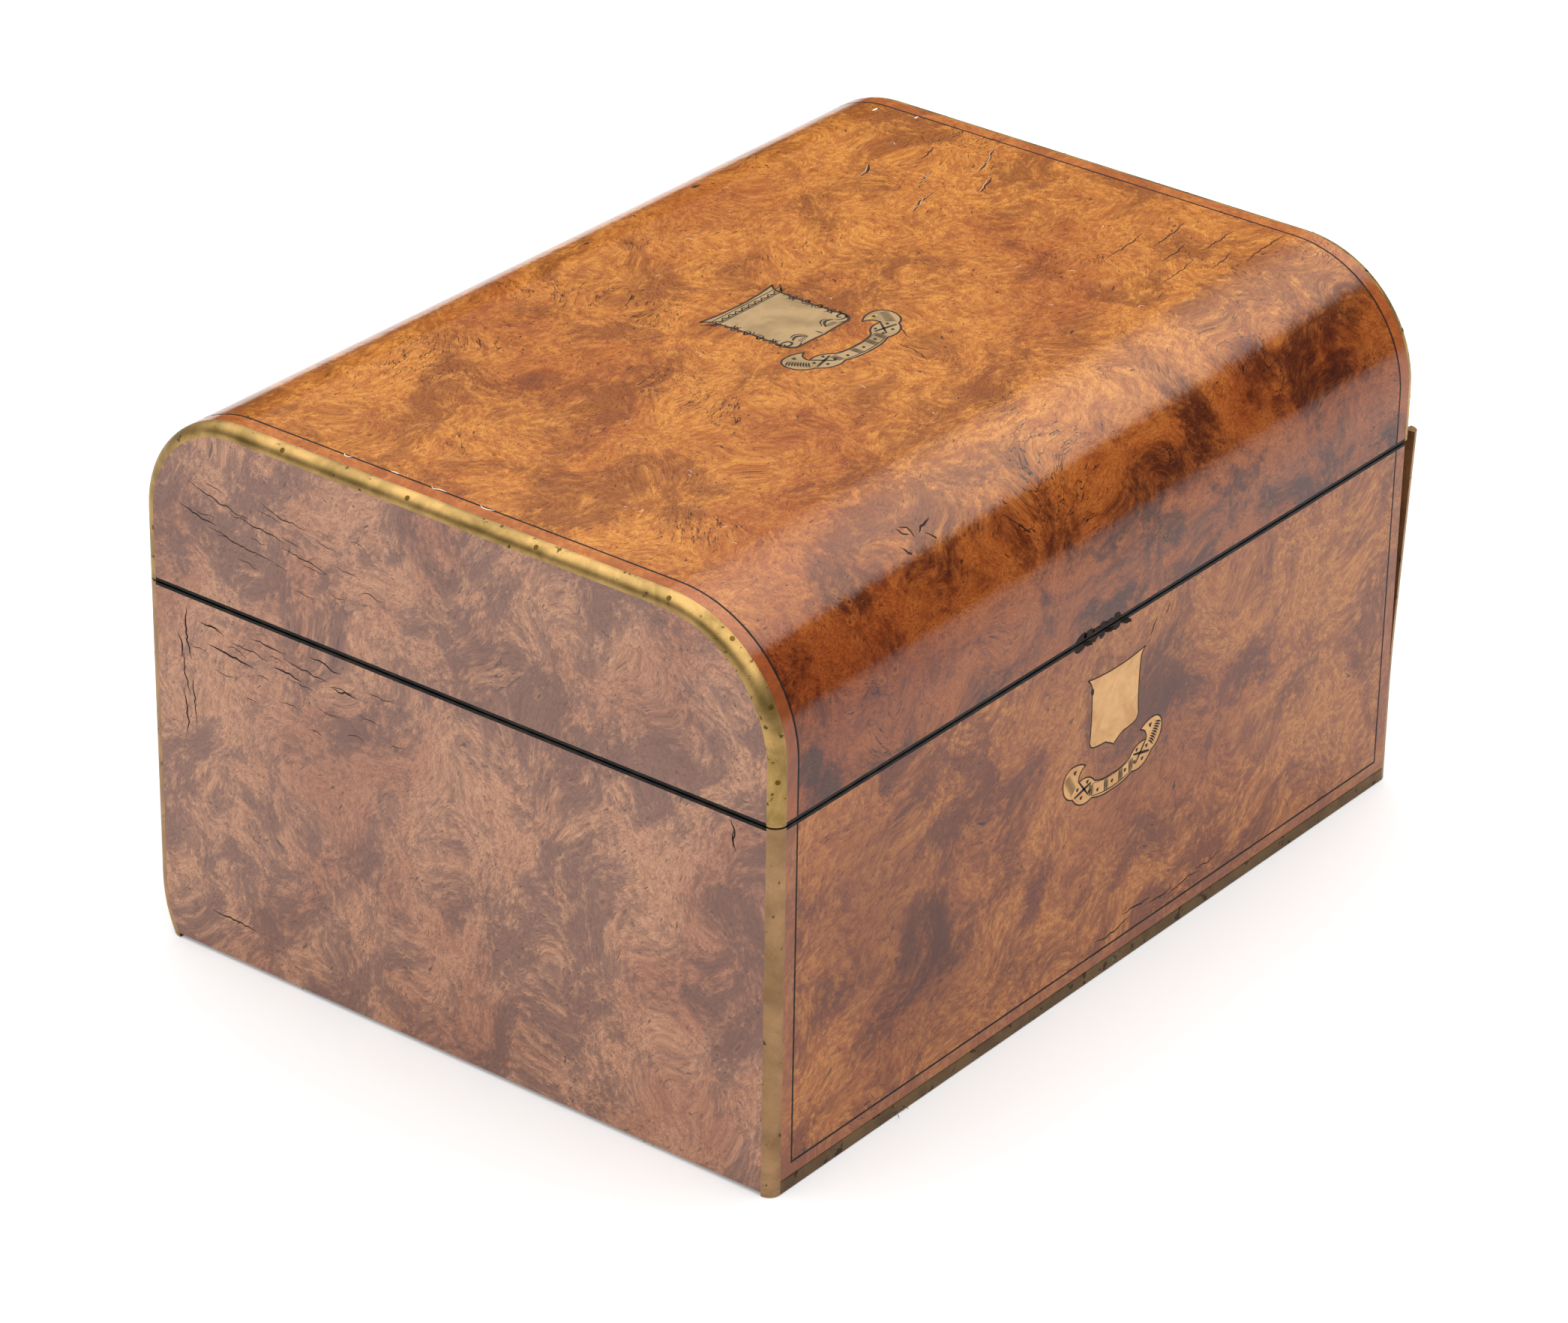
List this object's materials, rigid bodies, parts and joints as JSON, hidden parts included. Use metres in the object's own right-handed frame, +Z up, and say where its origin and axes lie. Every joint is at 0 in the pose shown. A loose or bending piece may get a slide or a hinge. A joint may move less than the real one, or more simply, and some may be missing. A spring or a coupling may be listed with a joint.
{
  "type": "dressing box",
  "caption": "Rectangular box with a rolled hinged lid over lined wells, a lift-out tray, capped glass jars and a mirror, and a jewel drawer in its right end.",
  "frame": {"origin": "middle of the underside of the case", "axes": "+X to the right along the front, +Y to the back, +Z up"},
  "size_m": [0.3103, 0.2305, 0.172],
  "materials": {
    "walnut": "polished burr walnut veneer",
    "carcass": "plain mahogany",
    "ebony": "ebonised",
    "brass": "aged",
    "spring_brass": "drawn",
    "steel": "plain",
    "velvet": "velvet",
    "silk": "watered silk on board",
    "baize": "baize",
    "jar_glass": "clear cut glass",
    "plate": "worn silver plate",
    "mirror": "silvered glass",
    "gilt": "gilt moulding"
  },
  "bodies": {
    "case": {"back_board": "carcass", "back_veneer": "walnut", "base_baize": "baize", "base_board": "carcass", "button_bush": "brass", "case_corner_strips": "brass", "case_lipping": "ebony", "case_stringing": "ebony", "catch_spring": "spring_brass", "drawer_guides": "carcass", "dust_board": "carcass", "end_veneers": "walnut", "foot_strip": "brass", "front_board": "carcass", "front_shield": "brass", "front_strap": "brass", "front_veneer": "walnut", "hinge_lower_leaves": "brass", "hinge_pins": "steel", "kick_spring": "spring_brass", "left_end_board": "carcass", "liner_frame": "carcass", "lock_case": "brass", "right_end_board": "carcass", "sprung_corner_strip": "brass", "tray_bearers": "carcass", "well_lining": "velvet", "well_partitions": "carcass"},
    "lid": {"lid_shell": "carcass", "lid_end_boards": "carcass", "lid_veneer": "walnut", "lid_end_veneers": "walnut", "lid_stringing": "ebony", "lid_lipping": "ebony", "lid_arch_strips": "brass", "lid_shield": "brass", "lid_strap": "brass", "lid_panel": "silk", "hinge_upper_leaves": "brass", "lock_link_plate": "brass"},
    "mirror": {"mirror_frame": "gilt", "mirror_glass": "mirror"},
    "drawer": {"drawer_front": "carcass", "drawer_front_veneer": "walnut", "drawer_box": "carcass", "drawer_lining": "velvet", "ring_rolls": "velvet", "drawer_strike": "brass"},
    "bolt": {"lock_bolt": "steel"},
    "button": {"release_button": "brass"},
    "tray": {"tray_box": "carcass", "tray_lining": "velvet"},
    "brush_box": {"brush_box_glass": "jar_glass"},
    "brush_box_cover": {"brush_box_cover": "plate"},
    "jar_1": {"jar_1_glass": "jar_glass"},
    "jar_1_cap": {"jar_1_cap": "plate"},
    "jar_2": {"jar_2_glass": "jar_glass"},
    "jar_2_cap": {"jar_2_cap": "plate"},
    "jar_3": {"jar_3_glass": "jar_glass"},
    "jar_3_cap": {"jar_3_cap": "plate"}
  },
  "joints": [
    {"name": "lid_hinge", "type": "hinge", "parent": "case", "child": "lid", "pos_m": [0, 0.1144, 0.115], "axis": [-1, 0, 0], "range_deg": [0, 100]},
    {"name": "drawer_slide", "type": "slide", "parent": "case", "child": "drawer", "axis": [1, 0, 0], "range_m": [0, 0.2], "deforming": ["kick_spring", "catch_spring"]},
    {"name": "button_press", "type": "slide", "parent": "case", "child": "button", "axis": [0, 0, -1], "range_m": [0, 0.0025], "stiffness_N_per_m": 400, "deforming": ["catch_spring"]},
    {"name": "bolt_slide", "type": "slide", "parent": "case", "child": "bolt", "axis": [1, 0, 0], "range_m": [0, 0.004]},
    {"name": "mirror_drop", "type": "slide", "parent": "lid", "child": "mirror", "axis": [0, 0, -1], "range_m": [0, 0.012]},
    {"name": "tray_lift", "type": "slide", "parent": "case", "child": "tray", "axis": [0, 0, 1], "range_m": [0, 0.02]},
    {"name": "brush_box_lift", "type": "slide", "parent": "case", "child": "brush_box", "axis": [0, 0, 1], "range_m": [0, 0.02]},
    {"name": "brush_box_cover_lift", "type": "slide", "parent": "brush_box", "child": "brush_box_cover", "axis": [0, 0, 1], "range_m": [0, 0.02]},
    {"name": "jar_1_lift", "type": "slide", "parent": "case", "child": "jar_1", "axis": [0, 0, 1], "range_m": [0, 0.02]},
    {"name": "jar_1_cap_lift", "type": "slide", "parent": "jar_1", "child": "jar_1_cap", "axis": [0, 0, 1], "range_m": [0, 0.02]},
    {"name": "jar_2_lift", "type": "slide", "parent": "case", "child": "jar_2", "axis": [0, 0, 1], "range_m": [0, 0.02]},
    {"name": "jar_2_cap_lift", "type": "slide", "parent": "jar_2", "child": "jar_2_cap", "axis": [0, 0, 1], "range_m": [0, 0.02]},
    {"name": "jar_3_lift", "type": "slide", "parent": "case", "child": "jar_3", "axis": [0, 0, 1], "range_m": [0, 0.02]},
    {"name": "jar_3_cap_lift", "type": "slide", "parent": "jar_3", "child": "jar_3_cap", "axis": [0, 0, 1], "range_m": [0, 0.02]}
  ]
}
